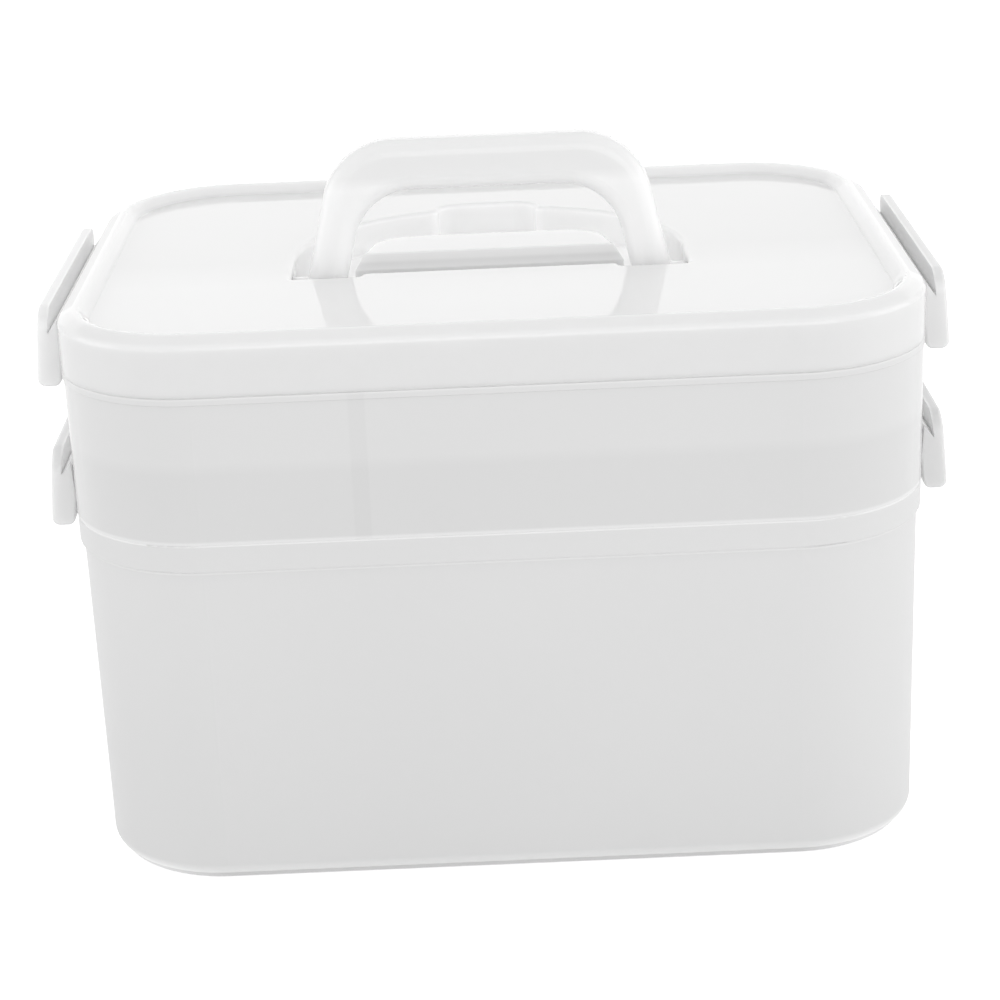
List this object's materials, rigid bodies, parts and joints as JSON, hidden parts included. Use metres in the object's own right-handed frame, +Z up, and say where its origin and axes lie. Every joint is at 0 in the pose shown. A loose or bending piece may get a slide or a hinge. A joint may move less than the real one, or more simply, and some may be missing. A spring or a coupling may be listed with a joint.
{
  "type": "nail polish case",
  "caption": "Two-tier storage and carry case: deep box, nesting divided tray and lid, held by rocker clips on the short sides, with a folding bail handle in the lid's recess",
  "frame": {"origin": "centre of the case's outline, at the level of the foot ring that it stands on", "axes": "+X along the long side to the right as the picture shows it, +Y to the back, +Z up"},
  "size_m": [0.289, 0.21, 0.2203],
  "materials": {
    "box_plastic": "satin white",
    "tray_plastic": "satin, slightly translucent white",
    "divider_plastic": "satin, slightly translucent white",
    "lid_plastic": "glossy white",
    "handle_plastic": "satin white",
    "clip_plastic": "satin white"
  },
  "bodies": {
    "box": {"lower_box": "box_plastic"},
    "tray": {"upper_tray": "tray_plastic", "long_divider": "divider_plastic", "cross_divider": "divider_plastic"},
    "lid": {"lid": "lid_plastic"},
    "handle": {"handle": "handle_plastic"},
    "clip_lower_left": {"clip_lower_left": "clip_plastic"},
    "clip_lower_right": {"clip_lower_right": "clip_plastic"},
    "clip_upper_left": {"clip_upper_left": "clip_plastic"},
    "clip_upper_right": {"clip_upper_right": "clip_plastic"}
  },
  "joints": [
    {"name": "tray_lift", "type": "slide", "parent": "box", "child": "tray", "axis": [0, 0, 1], "range_m": [0, 0.12]},
    {"name": "lid_lift", "type": "slide", "parent": "tray", "child": "lid", "axis": [0, 0, 1], "range_m": [0, 0.12]},
    {"name": "handle_fold", "type": "hinge", "parent": "lid", "child": "handle", "pos_m": [0, -0.019, 0.173], "axis": [-1, 0, 0], "range_deg": [0, 90]},
    {"name": "clip_lower_left_press", "type": "hinge", "parent": "tray", "child": "clip_lower_left", "pos_m": [-0.1374, 0, 0.1181], "axis": [0, 1, 0], "range_deg": [0, 9]},
    {"name": "clip_lower_right_press", "type": "hinge", "parent": "tray", "child": "clip_lower_right", "pos_m": [0.1374, 0, 0.1181], "axis": [0, -1, 0], "range_deg": [0, 9]},
    {"name": "clip_upper_left_press", "type": "hinge", "parent": "lid", "child": "clip_upper_left", "pos_m": [-0.1374, 0, 0.165], "axis": [0, 1, 0], "range_deg": [0, 9]},
    {"name": "clip_upper_right_press", "type": "hinge", "parent": "lid", "child": "clip_upper_right", "pos_m": [0.1374, 0, 0.165], "axis": [0, -1, 0], "range_deg": [0, 9]}
  ]
}
